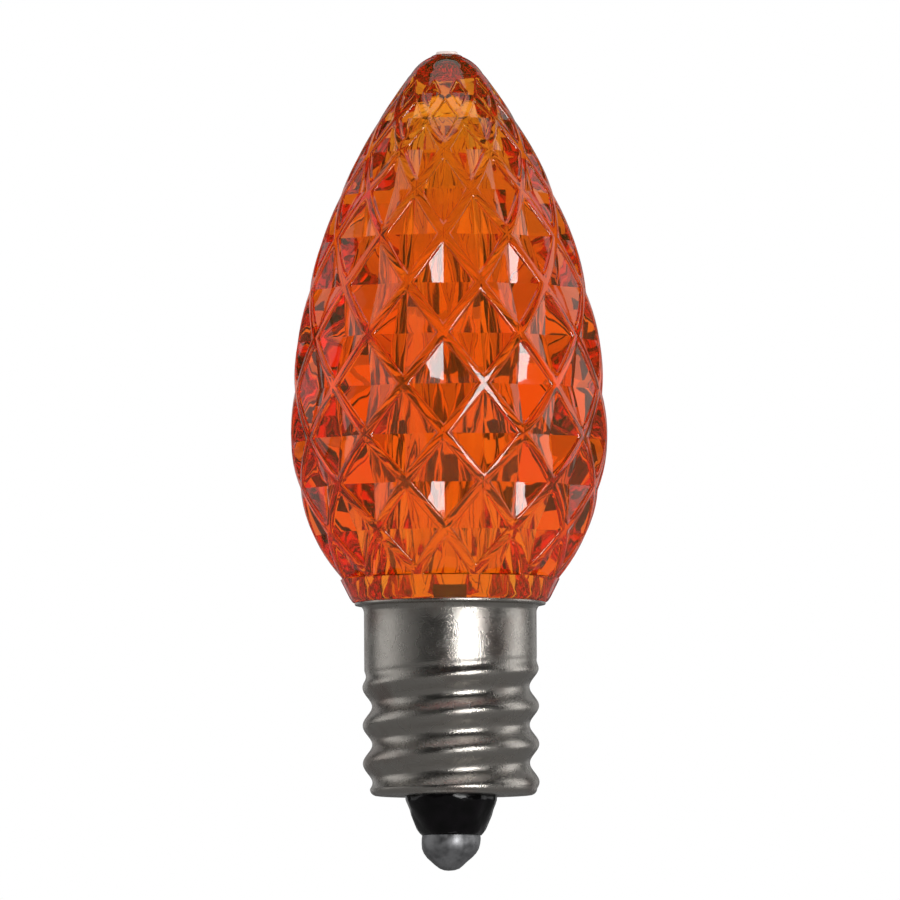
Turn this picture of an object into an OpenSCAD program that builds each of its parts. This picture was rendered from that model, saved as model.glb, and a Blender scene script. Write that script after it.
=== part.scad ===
// Faceted candelabra-base LED Christmas bulb.
// Z runs up the axis of the bulb, and the origin is the lowest point of the soldered centre contact.

/* [Lens] */
// Largest diameter of the lens, over the lattice ribs
lens_d = 21.1; // [19:0.1:24]
// Height of the widest place above the contact
belly_z = 29.2; // [28.5:0.1:31]
// Height of the smooth tip, under the gate mark
tip_z = 54.55; // [53.5:0.05:56]
// Radius of the round tip, under the gate mark
nose_r = 2.81; // [2.5:0.01:3.1]
// How far the lens stands out over the neck, at the top of the neck band
shoulder_w = 0.75; // [0.5:0.05:1.2]
// How far the neck stands out over the rim of the shell
neck_lip = 0.18; // [0.1:0.01:0.35]
// Height of the plain neck band between the shell and the lattice
neck_h = 1.5; // [1.2:0.05:1.8]
// Diameter of the gate mark on the tip
gate_d = 2.1; // [1.5:0.1:2.6]
// Height of the gate mark above the tip
gate_h = 0.15; // [0.1:0.01:0.3]

/* [Lattice] */
// Diamond cells around the lens
columns = 12; // [10:1:14]
// Rows of lattice nodes above the lowest one, an even number
rows = 12; // [10:2:14]
// Turn of the lattice about the axis, in degrees
lattice_turn = -2; // [-15:1:15]
// Width of the ribs between the cells
rib_w = 0.75; // [0.4:0.05:1]
// Depth of a cell as a share of its half width
cell_depth = 0.27; // [0.15:0.01:0.35]
// Height of the smooth cap above the highest nodes
cap_h = 1.55; // [1.3:0.05:2]
// How much the rows close up towards the tip
row_crowding = 0.095; // [0.06:0.005:0.11]

/* [Light core] */
// Wall between the shell and the pocket of the circuit board
pocket_wall = 0.85; // [0.7:0.05:1.05]
// Diameter of the hollow core under its dome
core_top_d = 4.4; // [3:0.1:4.8]
// Wall of the lens above the dome of the core
core_roof = 4; // [3.4:0.1:6]
// Length of the spigot that enters the screw shell
spigot_l = 3.9; // [3.2:0.1:4.2]
// Wall of the spigot
spigot_wall = 1.25; // [1.1:0.05:1.4]
// Clearance between the spigot and the shell, on the radius
spigot_fit = 0.15; // [0.05:0.01:0.25]

/* [Screw shell] */
// Diameter of the plain collar
collar_d = 11.5; // [11.3:0.05:11.6]
// How far the thread crests stand out over the collar
crest_rise = 0.13; // [0.03:0.01:0.2]
// Depth of the thread, from crest to root
thread_depth = 0.63; // [0.5:0.01:0.7]
// Pitch of the thread
thread_pitch = 2.54; // [2.5:0.01:2.6]
// Thickness of the sheet
sheet = 0.25; // [0.2:0.01:0.3]
// How far the rim flares out over the collar
flare_w = 0.62; // [0.5:0.01:0.7]
// Height of the flare
flare_h = 0.65; // [0.5:0.05:0.8]
// Length of the shell from its floor to its rim
shell_l = 12.9; // [12.6:0.1:13.2]
// Length of the plain collar, flare included
collar_l = 4.3; // [4.1:0.1:4.6]
// Round between the side and the floor
floor_round = 0.45; // [0.35:0.05:0.6]
// Diameter of the hole in the floor
floor_hole_d = 6.3; // [6:0.1:6.6]

/* [Base] */
// Height of the shell floor above the tip of the contact
floor_z = 5; // [4.6:0.1:5.4]
// Height of the solder drop
solder_h = 2.4; // [2.2:0.1:2.8]
// Diameter of the solder drop
solder_d = 4; // [3.6:0.1:4.2]
// Diameter of the insulator at the solder
insulator_tip_d = 4.2; // [4.2:0.1:4.6]
// Height of the insulator inside the shell
insulator_h = 2.2; // [1.6:0.1:2.6]
// Clearance of the insulator in the shell
insulator_fit = 0.1; // [0.05:0.01:0.15]
// Diameter of the eyelet flange
eyelet_d = 3.2; // [2.8:0.1:3.4]
// Outer diameter of the eyelet tube
eyelet_tube_d = 1.7; // [1.5:0.1:1.9]
// Length of the eyelet tube
eyelet_l = 2.2; // [1.8:0.1:2.4]
// Thickness of the eyelet metal
eyelet_wall = 0.25; // [0.2:0.01:0.3]

/* [Electronics] */
// Clearance of the circuit board in its pocket
board_fit = 0.05; // [0.03:0.01:0.12]
// Thickness of the circuit board
board_t = 1; // [0.8:0.1:1.2]
// How far the board sits below the rim of the shell
board_drop = 0.4; // [0.3:0.05:0.6]
// Distance of the diodes from the edge of the board
led_edge = 0.35; // [0.25:0.05:0.5]
// Length of a diode package, around the ring
led_l = 2; // [1.6:0.1:2.2]
// Width of a diode package, along the radius
led_w = 1.6; // [1.4:0.1:1.7]
// Height of a diode package
led_h = 0.95; // [0.7:0.05:1.2]
// Length of the bridge rectifier
bridge_l = 3.6; // [3:0.1:3.8]
// Clearance between the corners of the bridge rectifier and the spigot
bridge_gap = 0.43; // [0.3:0.01:0.8]
// Height of the bridge rectifier
bridge_h = 1.5; // [1.2:0.1:1.8]
// Length of the chip resistor
chip_l = 3.2; // [2.6:0.1:3.4]
// Width of the chip resistor
chip_w = 1.6; // [1.2:0.1:1.7]
// Height of the chip resistor
chip_h = 0.6; // [0.5:0.05:0.8]
// Distance of the rectifier and the chip resistor from the axis
part_offset = 0.6; // [0.5:0.05:0.8]
// Diameter of the dropping resistor on the axis
dropper_d = 2.3; // [1.8:0.1:2.6]
// Length of the dropping resistor
dropper_l = 5.4; // [4.4:0.1:5.8]
// Diameter of the lead wires
wire_d = 0.5; // [0.4:0.05:0.6]
// How far the centre lead reaches into the solder
lead_in_solder = 1.2; // [0.6:0.1:1.6]
// Bearing of the shell lead about the axis, in degrees
lead_turn = -50; // [-70:1:-30]

/* [Hidden] */
$fn = 96;
eps = 0.01;

// Screw shell: heights, and the shape of its thread
shell_top = floor_z + shell_l;
collar_z = shell_top - collar_l;
rim_r = collar_d / 2 + flare_w;
crest_r = collar_d / 2 + crest_rise;
root_r = crest_r - thread_depth;
thread_mid_r = (crest_r + root_r) / 2;
thread_swing = thread_depth / 2;
left_crest_h = 2.15;
run_out_h = 1.2;
run_out = 0.9;
thread_start = floor_z + left_crest_h;
thread_end = collar_z - run_out_h;
thread_fade = 1;
thread_top = thread_end + run_out + thread_fade;
thread_steps = 48;
thread_rows = 33;
round_rows = 3;
lap = 0.2;
tuck = 0.03;

// Lens: the arcs of its outline, the rows of its lattice and the points that its skin needs. The half cells
// of the lowest row are sunk by a share of a whole cell, and those of the highest row are filled.
belly_x = lens_d / 2;
tip_h = tip_z - belly_z;
flank_r = (belly_x ^ 2 + tip_h ^ 2 - 2 * nose_r * tip_h) / (2 * (belly_x - nose_r));
flank_x = flank_r - belly_x;
cap_z = tip_z - nose_r;
cap_start = belly_z + (cap_z - belly_z) * flank_r / (flank_r - nose_r);
neck_r = rim_r + neck_lip;
band_top = shell_top + neck_h;
belly_in = belly_x - neck_r - shoulder_w;
belly_r = ((belly_z - band_top) ^ 2 + belly_in ^ 2) / (2 * belly_in);
lattice_gap = 0.1;
row_low = band_top + lattice_gap;
row_high = tip_z - cap_h;
crowding_power = 1.9;
half_cell_h = 0.5;
half_cell_share = 0.8;
fill_drop = 0.3;
neck_swell = 0.15;
neck_swell_h = 0.3;
edge_steps = 3;
rim_points = 4 * edge_steps;
cap_rings = 5;
dome_rings = 4;
spigot_r = collar_d / 2 - sheet - spigot_fit;
bore_r = spigot_r - spigot_wall;
core_r = spigot_r - pocket_wall;

// Stack of the base and of the electronics
core_top = tip_z - core_roof;
board_top = shell_top - board_drop + board_t;
board_z = board_top - board_t;
insulator_top = floor_z + sheet + insulator_h;
eyelet_bore_r = eyelet_tube_d / 2 - eyelet_wall;
solder_plug = 1;
board_r = core_r - board_fit;
led_ring_r = board_r - led_edge - led_w / 2;
bridge_w = sqrt((bore_r - bridge_gap) ^ 2 - (bridge_l / 2) ^ 2) - part_offset;
window_h = 0.25;
window_share = 0.3;
waist = 0.88;
dropper_gap = 0.4;
lead_gap = 0.08;
hole_edge = 0.1;
dropper_top = board_z - bridge_h - dropper_gap;
lead_z = shell_top - spigot_l - wire_d;

// Radius of the lens outline at a height
function outline(z) =
    z < belly_z ? belly_x - belly_r + sqrt(belly_r ^ 2 - (z - belly_z) ^ 2)
    : z < cap_start ? sqrt(flank_r ^ 2 - (z - belly_z) ^ 2) - flank_x
    : sqrt(max(nose_r ^ 2 - (z - cap_z) ^ 2, 0));

// A point on the lens outline, sunk by a depth towards the axis
function skin(turn, z, depth = 0) =
    let (r = outline(z) - depth) [r * cos(turn), r * sin(turn), z];

// Height of a row of nodes: the rows crowd together towards the tip
function row_z(j) =
    let (t = j / rows)
    row_low + (row_high - row_low) * (t + row_crowding * sin(180 * t ^ crowding_power));

// Bearing of the middle of a cell: every second row is half a cell further round
function cell_turn(j, k) = lattice_turn - 90 + (k + (j % 2) / 2) * 360 / columns;

// Half the width of a cell on the curved skin
function half_w(j) = outline(row_z(j)) * PI / columns;

// Share of a cell that lies inside its ribs
function inside_ribs(j) =
    let (a = half_w(j), up = row_z(min(j + 1, rows)), down = row_z(max(j - 1, 0)))
    let (h = (up - down) / (min(j + 1, rows) - max(j - 1, 0)))
    1 - rib_w / 2 * norm([a, h]) / (a * h);

// Point i on the edge of a cell, counted from its right corner over its top
function edge_point(j, k, i) =
    let (side = floor(i / edge_steps), t = i / edge_steps - side, f = inside_ribs(j))
    let (across = [1 - t, -t, t - 1, t][side], along = [t, 1 - t, -t, t - 1][side])
    let (h = along >= 0 ? row_z(j + 1) - row_z(j) : row_z(j) - row_z(j - 1))
    skin(cell_turn(j, k) + f * across * 180 / columns, row_z(j) + f * along * h);

// Deepest point of a cell
function cell_floor(j, k) = skin(cell_turn(j, k), row_z(j), cell_depth * half_w(j));

// Index of a point in the list of the lens skin: whole cells come first, row by row
function cell_index(j, k, i) =
    ((j - 1) * columns + (k + columns) % columns) * (rim_points + 1) + i % rim_points;
function floor_index(j, k) = ((j - 1) * columns + k) * (rim_points + 1) + rim_points;

// Faces of a strip between two equal runs of points
function strip(a, b) = [for (i = [0:len(a) - 2]) each [[a[i], a[i + 1], b[i + 1]], [a[i], b[i + 1], b[i]]]];

// The column to the upper right or upper left of a cell
function right_of(j, k) = (k + j % 2) % columns;
function left_of(j, k) = (k + j % 2 - 1 + columns) % columns;

// Lens: cells sunk between raised ribs, a half row at each end, the cap, the neck, the spigot and the hollow core
module lens() {
    n = edge_steps;
    whole = [for (j = [1:rows - 1], k = [0:columns - 1])
        each [for (i = [0:rim_points]) i < rim_points ? edge_point(j, k, i) : cell_floor(j, k)]];
    half_size = 2 * n + 3;
    low = [for (k = [0:columns - 1]) each concat(
        [for (i = [0:2 * n]) edge_point(0, k, i)],
        [skin(cell_turn(0, k), row_z(0)),
        skin(cell_turn(0, k), row_z(0) + half_cell_h, cell_depth * half_w(0) * half_cell_share)])];
    high = [for (k = [0:columns - 1]) each concat(
        [for (i = [2 * n:4 * n]) edge_point(rows, k, i % rim_points)],
        [skin(cell_turn(rows, k), row_z(rows)), skin(cell_turn(rows, k), row_z(rows) - fill_drop)])];
    low_at = len(whole);
    high_at = low_at + len(low);
    ring_at = high_at + len(high);
    ring_size = 3 * columns;
    turns = function (j, k) [for (s = [-1, 0, 1]) cell_turn(j, k) + s * inside_ribs(j) * 180 / columns];
    even = [for (i = [0:ring_size - 1]) cell_turn(0, 0) + (i - 1) * 360 / ring_size];
    dome_z = core_top - core_top_d / 2;
    profile = concat(
        [for (s = [dome_rings - 1:-1:0]) let (a = 90 * s / dome_rings)
            [core_top_d / 2 * cos(a), dome_z + core_top_d / 2 * sin(a)]],
        [[core_r, board_top + led_h], [core_r, board_z], [bore_r, board_z],
        [bore_r, shell_top - spigot_l], [spigot_r, shell_top - spigot_l], [spigot_r, shell_top],
        [neck_r, shell_top], [neck_r + neck_swell, shell_top + neck_swell_h],
        [outline(band_top), band_top]]);
    neck = [for (p = profile, a = even) [p[0] * cos(a), p[0] * sin(a), p[1]]];
    neck_rings = len(profile);
    gate_z = cap_z + sqrt(nose_r ^ 2 - (gate_d / 2) ^ 2);
    cap = [for (s = [1:cap_rings], k = [0:columns - 1], a = turns(rows, k))
        skin(a, row_high + (gate_z - row_high) * sin(90 * s / cap_rings))];
    gate = [for (k = [0:columns - 1], a = turns(rows, k))
        [gate_d / 2 * cos(a), gate_d / 2 * sin(a), tip_z + gate_h]];

    low_i = function (k, i) low_at + ((k + columns) % columns) * half_size + i;
    high_i = function (k, i) high_at + ((k + columns) % columns) * half_size + i;
    up_edge = function (j, k, i) j == 0 ? low_i(k, i) : cell_index(j, k, i);
    down_edge = function (j, k, i) j == rows ? high_i(k, i - 2 * n) : cell_index(j, k, i);

    pits = [for (j = [1:rows - 1], k = [0:columns - 1], i = [0:rim_points - 1])
        [floor_index(j, k), cell_index(j, k, i), cell_index(j, k, i + 1)]];
    low_pits = [for (k = [0:columns - 1]) let (o = low_i(k, 0), loop = [each [0:2 * n], 2 * n + 1])
        each [for (i = [0:len(loop) - 1]) [o + 2 * n + 2, o + loop[i], o + loop[(i + 1) % len(loop)]]]];
    high_fills = [for (k = [0:columns - 1]) let (o = high_i(k, 0), loop = [each [0:2 * n], 2 * n + 1])
        each [for (i = [0:len(loop) - 1]) [o + 2 * n + 2, o + loop[i], o + loop[(i + 1) % len(loop)]]]];
    ribs = [for (j = [0:rows - 1], k = [0:columns - 1]) let (r = right_of(j, k), l = left_of(j, k)) each concat(
        strip([for (i = [0:n]) down_edge(j + 1, r, 3 * n - i)], [for (i = [0:n]) up_edge(j, k, i)]),
        strip([for (i = [0:n]) down_edge(j + 1, l, 4 * n - i)], [for (i = [0:n]) up_edge(j, k, n + i)]))];
    nodes_mid = [for (j = [1:rows - 1], k = [0:columns - 1])
        let (below = up_edge(j - 1, right_of(j, k), n), above = down_edge(j + 1, right_of(j, k), 3 * n))
        let (west = cell_index(j, k, 0), east = cell_index(j, k + 1, 2 * n))
        each [[below, east, above], [below, above, west]]];
    nodes_low = [for (k = [0:columns - 1])
        [low_i(k, 0), low_i(k + 1, 2 * n), down_edge(1, right_of(0, k), 3 * n)]];
    nodes_high = [for (k = [0:columns - 1])
        [up_edge(rows - 1, right_of(rows, k), n), high_i(k + 1, 0), high_i(k, 2 * n)]];
    low_ring = [for (k = [0:columns - 1]) each [low_i(k, 2 * n), low_i(k, 2 * n + 1), low_i(k, 0)]];
    high_ring = [for (k = [0:columns - 1]) each [high_i(k, 0), high_i(k, 2 * n + 1), high_i(k, 2 * n)]];
    ring = function (s) [for (i = [0:ring_size - 1]) ring_at + s * ring_size + i];
    core_end = ring_at + (neck_rings + cap_rings + 1) * ring_size;
    closed = function (list) concat(list, [list[0]]);
    below = concat([for (s = [0:neck_rings - 1]) ring(s)], [low_ring]);
    above = concat([high_ring], [for (s = [neck_rings:neck_rings + cap_rings]) ring(s)]);
    bands = concat(
        [for (s = [0:len(below) - 2]) each strip(closed(below[s]), closed(below[s + 1]))],
        [for (s = [0:len(above) - 2]) each strip(closed(above[s]), closed(above[s + 1]))],
        [for (i = [0:ring_size - 1]) [core_end, ring(0)[(i + 1) % ring_size], ring(0)[i]]]);
    gate_face = [for (i = [ring_size - 1:-1:0]) ring(neck_rings + cap_rings)[i]];
    faces = concat(pits, low_pits, high_fills, ribs, nodes_mid, nodes_low, nodes_high, bands);
    color([0.9, 0.4, 0.08, 0.75]) polyhedron(concat(whole, low, high, neck, cap, gate, [[0, 0, core_top]]),
        concat([for (f = faces) [f[2], f[1], f[0]]], [gate_face]));
}

// Radius of the outside of the shell at a bearing and a height
function thread_at(turn, z) =
    let (wave = cos(360 * (z - thread_start) / thread_pitch - (turn - 180)))
    let (fade_z = thread_end + run_out * (1 - cos(turn - 180)) / 2)
    let (t = min(max((z - fade_z) / thread_fade, 0), 1), w = t * t * (3 - 2 * t))
    (thread_mid_r + thread_swing * wave) * (1 - w) + (collar_d / 2 - tuck) * w;

// Section of the threaded sheet at a bearing: down the outside, in along the floor and up the inside.
// Its top lies within the wall of the collar.
function sheet_section(turn) =
    let (low_z = floor_z + floor_round, high_z = thread_top + lap)
    let (out = [for (i = [0:thread_rows]) let (z = high_z + (low_z - high_z) * i / thread_rows)
        [thread_at(turn, z), z]])
    let (corner_r = thread_at(turn, low_z) - floor_round)
    let (turn_in = [for (i = [1:round_rows]) let (a = 90 * i / round_rows)
        [corner_r + floor_round * cos(a), low_z - floor_round * sin(a)]])
    let (back = [for (i = [round_rows:-1:0]) let (a = 90 * i / round_rows)
        [corner_r + (floor_round - sheet) * cos(a), low_z - (floor_round - sheet) * sin(a)]])
    let (inside = [for (i = [thread_rows - 1:-1:0])
        [out[i][0] - sheet + (out[i][1] > thread_top - lap ? 3 * tuck : 0), out[i][1]]])
    concat(out, turn_in, [[floor_hole_d / 2, floor_z], [floor_hole_d / 2, floor_z + sheet]], back, inside);

// The threaded part of the shell, swept once around the axis
module threaded_sheet() {
    sections = [for (s = [0:thread_steps - 1]) sheet_section(s * 360 / thread_steps)];
    size = len(sections[0]);
    points = [for (s = [0:thread_steps - 1], p = sections[s])
        let (a = s * 360 / thread_steps) [p[0] * cos(a), p[0] * sin(a), p[1]]];
    faces = [for (s = [0:thread_steps - 1], i = [0:size - 1])
        let (a = s * size, b = ((s + 1) % thread_steps) * size, j = (i + 1) % size)
        each [[a + i, b + j, a + j], [a + i, b + i, b + j]]];
    polyhedron(points, faces);
}

// Screw shell: threaded sheet, plain collar and flared rim in one drawn piece
module screw_shell() {
    outer = collar_d / 2;
    color([0.62, 0.6, 0.57]) union() {
        threaded_sheet();
        rotate_extrude() polygon([[outer - sheet, thread_top], [outer, thread_top], [outer, shell_top - flare_h],
            [rim_r, shell_top - sheet], [rim_r, shell_top], [rim_r - sheet, shell_top],
            [outer - sheet, shell_top - flare_h]]);
    }
}

// Insulator: a cone under the shell floor, with a shoulder inside the shell and a hole for the eyelet
module insulator() {
    hole_r = floor_hole_d / 2 - insulator_fit;
    inner_r = root_r - sheet - insulator_fit;
    color([0.07, 0.06, 0.07]) difference() {
        rotate_extrude() polygon([[0, solder_h], [insulator_tip_d / 2, solder_h], [hole_r, floor_z - hole_edge],
            [hole_r, floor_z + sheet], [inner_r - floor_round, floor_z + sheet],
            [inner_r, floor_z + sheet + floor_round], [inner_r, insulator_top], [0, insulator_top]]);
        translate([0, 0, solder_h - eps]) cylinder(h = eyelet_wall + eps, r = eyelet_d / 2);
        translate([0, 0, solder_h]) cylinder(h = insulator_top, r = eyelet_tube_d / 2);
    }
}

// Contact eyelet: a flanged tube seated in the tip of the insulator
module contact_eyelet() {
    color([0.8, 0.65, 0.35]) translate([0, 0, solder_h]) difference() {
        union() {
            cylinder(h = eyelet_wall, r = eyelet_d / 2);
            cylinder(h = eyelet_l, r = eyelet_tube_d / 2);
        }
        translate([0, 0, -eps]) cylinder(h = eyelet_l + 2 * eps, r = eyelet_bore_r);
    }
}

// Solder drop: a blunt round drop that grips the centre lead and fills the eyelet
module solder_tip() {
    r = solder_d / 2;
    color([0.5, 0.5, 0.5]) difference() {
        union() {
            intersection() {
                translate([0, 0, r]) sphere(r);
                cylinder(h = r, r = r);
            }
            translate([0, 0, r - eps]) cylinder(h = solder_h - r + eps, r = r);
            translate([0, 0, solder_h - eps]) cylinder(h = solder_plug, r = eyelet_bore_r);
        }
        translate([0, 0, solder_h - lead_in_solder]) cylinder(h = solder_h + solder_plug, d = wire_d);
    }
}

// Seal bead: adhesive in the wedge between the flare of the shell and the spigot
module seal_bead() {
    color([0.85, 0.8, 0.7]) rotate_extrude()
        polygon([[spigot_r, shell_top - flare_h], [collar_d / 2 - sheet, shell_top - flare_h],
            [rim_r - sheet, shell_top], [spigot_r, shell_top]]);
}

// Circuit board, on the ledge inside the spigot
module circuit_board() {
    color([0.85, 0.85, 0.8]) translate([0, 0, board_z]) difference() {
        cylinder(h = board_t, r = board_r);
        translate([0, 0, -eps]) cylinder(h = board_t + 2 * eps, d = wire_d);
    }
}

// One light-emitting diode: a package with a sunk window, on the ring at a bearing
module led(bearing) {
    rotate([0, 0, bearing]) translate([led_ring_r, 0, board_top]) {
        color([0.95, 0.9, 0.75]) difference() {
            translate([-led_w / 2, -led_l / 2, 0]) cube([led_w, led_l, led_h]);
            translate([0, 0, led_h - window_h])
                cylinder(h = window_h + eps, r1 = led_w * window_share, r2 = led_w * window_share + window_h);
        }
    }
}
module led_right() { led(0); }
module led_back() { led(90); }
module led_left() { led(180); }
module led_front() { led(270); }

// Bridge rectifier, under the board beside the dropping resistor's lead
module bridge_rectifier() {
    color([0.12, 0.12, 0.13]) translate([-part_offset - bridge_w, -bridge_l / 2, board_z - bridge_h])
        cube([bridge_w, bridge_l, bridge_h]);
}

// Chip resistor, under the board on the other side
module chip_resistor() {
    color([0.1, 0.1, 0.1]) translate([part_offset, -chip_l / 2, board_z - chip_h])
        cube([chip_w, chip_l, chip_h]);
}

// Dropping resistor on the axis: its body, and its leads from the solder drop up through the board
module dropping_resistor() {
    r = dropper_d / 2;
    bevel = r / 5;
    color([0.75, 0.65, 0.5]) union() {
        translate([0, 0, solder_h - lead_in_solder])
            cylinder(h = board_top - solder_h + lead_in_solder, d = wire_d);
        translate([0, 0, dropper_top - dropper_l + r / 2]) cylinder(h = dropper_l - r, r = r * waist);
        for (z = [dropper_top - r, dropper_top - dropper_l]) translate([0, 0, z])
            rotate_extrude()
            polygon([[0, 0], [r - bevel, 0], [r, bevel], [r, r - bevel], [r - bevel, r], [0, r]]);
    }
}

// Shell lead: a wire from the board, down past the spigot and out to the collar, with a clearance at its end
module shell_lead() {
    x = bore_r - wire_d;
    color([0.7, 0.7, 0.7]) rotate([0, 0, lead_turn]) {
        translate([x, 0, lead_z]) cylinder(h = board_z - lead_z, d = wire_d);
        translate([x, 0, lead_z]) sphere(d = wire_d);
        translate([x, 0, lead_z]) rotate([0, 90, 0])
            cylinder(h = collar_d / 2 - sheet - lead_gap - x, d = wire_d);
    }
}

lens();
screw_shell();
insulator();
contact_eyelet();
solder_tip();
seal_bead();
circuit_board();
led_right();
led_back();
led_left();
led_front();
bridge_rectifier();
chip_resistor();
dropping_resistor();
shell_lead();
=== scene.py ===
"""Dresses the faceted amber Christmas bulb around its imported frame."""
import math

import bmesh
import bpy
from mathutils import Matrix, Vector, noise


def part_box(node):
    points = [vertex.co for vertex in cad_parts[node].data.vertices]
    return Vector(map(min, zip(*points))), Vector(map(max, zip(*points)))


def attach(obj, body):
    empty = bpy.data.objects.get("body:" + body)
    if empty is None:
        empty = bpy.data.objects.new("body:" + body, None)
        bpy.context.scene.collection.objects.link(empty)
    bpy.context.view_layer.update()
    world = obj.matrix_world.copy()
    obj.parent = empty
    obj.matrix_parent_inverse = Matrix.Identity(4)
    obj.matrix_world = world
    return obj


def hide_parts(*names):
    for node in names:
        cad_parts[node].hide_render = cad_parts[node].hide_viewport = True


bl_info = {
    "name": "Faceted Christmas Bulb",
    "version": (1, 0, 0),
    "blender": (4, 5, 0),
    "location": "View3D > Sidebar > Bulb",
    "description": "Builds a faceted amber LED bulb with a candelabra screw base",
    "category": "Add Mesh",
}

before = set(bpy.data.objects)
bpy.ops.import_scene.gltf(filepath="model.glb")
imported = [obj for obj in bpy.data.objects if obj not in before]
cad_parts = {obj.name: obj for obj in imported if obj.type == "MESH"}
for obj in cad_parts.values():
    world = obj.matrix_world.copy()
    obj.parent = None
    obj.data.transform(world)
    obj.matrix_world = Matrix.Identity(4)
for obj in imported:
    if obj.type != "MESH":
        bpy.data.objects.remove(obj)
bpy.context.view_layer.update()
MM = 0.001

# Heights and radii that the frame gives, in millimetres
SHELL_LOW, SHELL_HIGH = (p.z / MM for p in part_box("screw_shell"))
RIM_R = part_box("screw_shell")[1].x / MM
LENS_LOW, LENS_HIGH = (p.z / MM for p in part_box("lens"))
BOARD_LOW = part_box("circuit_board")[0].z / MM
DIODE_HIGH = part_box("led_left")[1].z / MM
INSULATOR_LOW, INSULATOR_HIGH = (p.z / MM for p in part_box("insulator"))
INSULATOR_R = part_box("insulator")[1].x / MM

# Kinds of node that the trees use most
MATH, COMPARE, SWITCH = "ShaderNodeMath", "FunctionNodeCompare", "GeometryNodeSwitch"

# Patterns of the lens and of the plating, as repeats in each millimetre. The real grain of the plating is
# finer than a pixel, so it is drawn as coarse as it needs to show, about 0.08 mm.
RIPPLE, HAZE, GRAIN, BLOTCH = 0.26, 0.9, 13.0, 0.33

# Lattice, with lengths in millimetres: how late the rows crowd together, the gap under the lowest row,
# the half width of a cell's middle line, how near two points are to be welded, and the points along each
# side of a cell
CROWDING_POWER = 1.9
LATTICE_GAP = 0.1
MIDDLE_LINE = 0.0001
WELD = 0.004
CELL_STEPS = 5

# Lens, in millimetres and degrees: the swell of the neck and its height, the round of its foot, the steps
# along its curves, where the dome's flat begins, and the least angle of a sharp edge
NECK_SWELL, NECK_SWELL_H = 0.15, 0.3
NECK_ROUND = 0.08
CAP_STEPS, TAPER_STEPS, DOME_STEPS = 10, 12, 8
DOME_END = 84
LENS_SHARP = 32

# Radius at which a turned body closes, in millimetres
POLE_R = 0.05

# Gate mark, in millimetres: its rounded rim as (in, up) from the cap, its flat as (in, under the top),
# the radius of its middle as a share, and the scar on it as (radius, under the top)
GATE_RIM = ((0.03, 0.04), (0.12, 0.09))
GATE_FLAT = (0.35, 0.17)
GATE_MIDDLE = 0.3
SCAR = ((POLE_R, 0.2), (0.72, 0.2), (0.71, 0.08), (0.64, 0.02), (POLE_R, 0.01))

# Shell, in millimetres: the steps round it and along its thread, the left side's first crest above the
# floor, where the thread starts to run out under the collar, how much higher it does so on the right, and
# how long it fades
SHELL_STEPS, THREAD_ROWS = 192, 84
FIRST_CREST = 2.15
RUN_OUT_H = 1.2
RUN_OUT = 0.9
THREAD_FADE = 1.0

# Section of the shell, in millimetres and degrees: the rounded rim as (in, down), the inner lip as (in,
# down), the flare as (out, up), the length of collar that is swept with the thread, where the floor's
# round starts, and the round of the hole. A point's offset is a plain radius, or is measured from the
# thread at its own height or at the foot of the thread.
RIM = ((0.02, 0.03), (0.0, 0.12), (0.04, 0.2))
LIP = (0.04, 0.02)
FLARE = ((0.0, 0.0), (0.05, 0.18), (0.16, 0.36))
SWEPT_COLLAR = 0.7
FLOOR_START = -15
HOLE_ROUND = 0.05
PLAIN, THREAD, FOOT = 0, 1, 2

# Insulator and solder drop as (radius, height) in millimetres: the hole and the pocket of the eyelet, the
# height of the pocket, the outside of the cone, and the drop up to its edge and its plug in the eyelet
TUBE_R, POCKET_R, POCKET_H = 0.86, 1.62, 0.25
CONE = ((1.98, 2.36), (2.1, 2.5), (2.26, 2.75), (2.36, 3.05), (2.5, 3.4), (2.66, 3.7), (2.8, 4.05),
        (2.98, 4.4), (3.08, 4.7), (3.08, 4.95), (3.05, 5.25))
DROP = ((POLE_R, 0.0), (0.35, 0.03), (0.66, 0.14), (0.95, 0.36), (1.22, 0.6), (1.5, 0.85), (1.74, 1.15),
        (1.9, 1.45), (1.97, 1.8), (1.97, 2.15), (1.92, 2.39), (0.58, 2.39), (0.58, 3.38), (POLE_R, 3.38))

# Camera, in metres and degrees: its sensor in millimetres, its distance, the width that it sees at the
# bulb, its pitch and roll, the height that it aims at, and its step to the right
SENSOR = 36.0
CAMERA_DISTANCE = 0.9
CAMERA_FIELD = 60.0 * MM
CAMERA_RISE = -3.4
CAMERA_ROLL = -0.35
CAMERA_AIM = 28.05 * MM
CAMERA_SIDE = 0.05 * MM

# Strength of the world on the bulb. It shows at full strength to the camera, in reflections and through
# the lens.
WORLD_LIGHT = 0.6

# Half the width of the floor, and its height, in metres
FLOOR_HALF, FLOOR_Z = 2.0, -0.12

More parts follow.
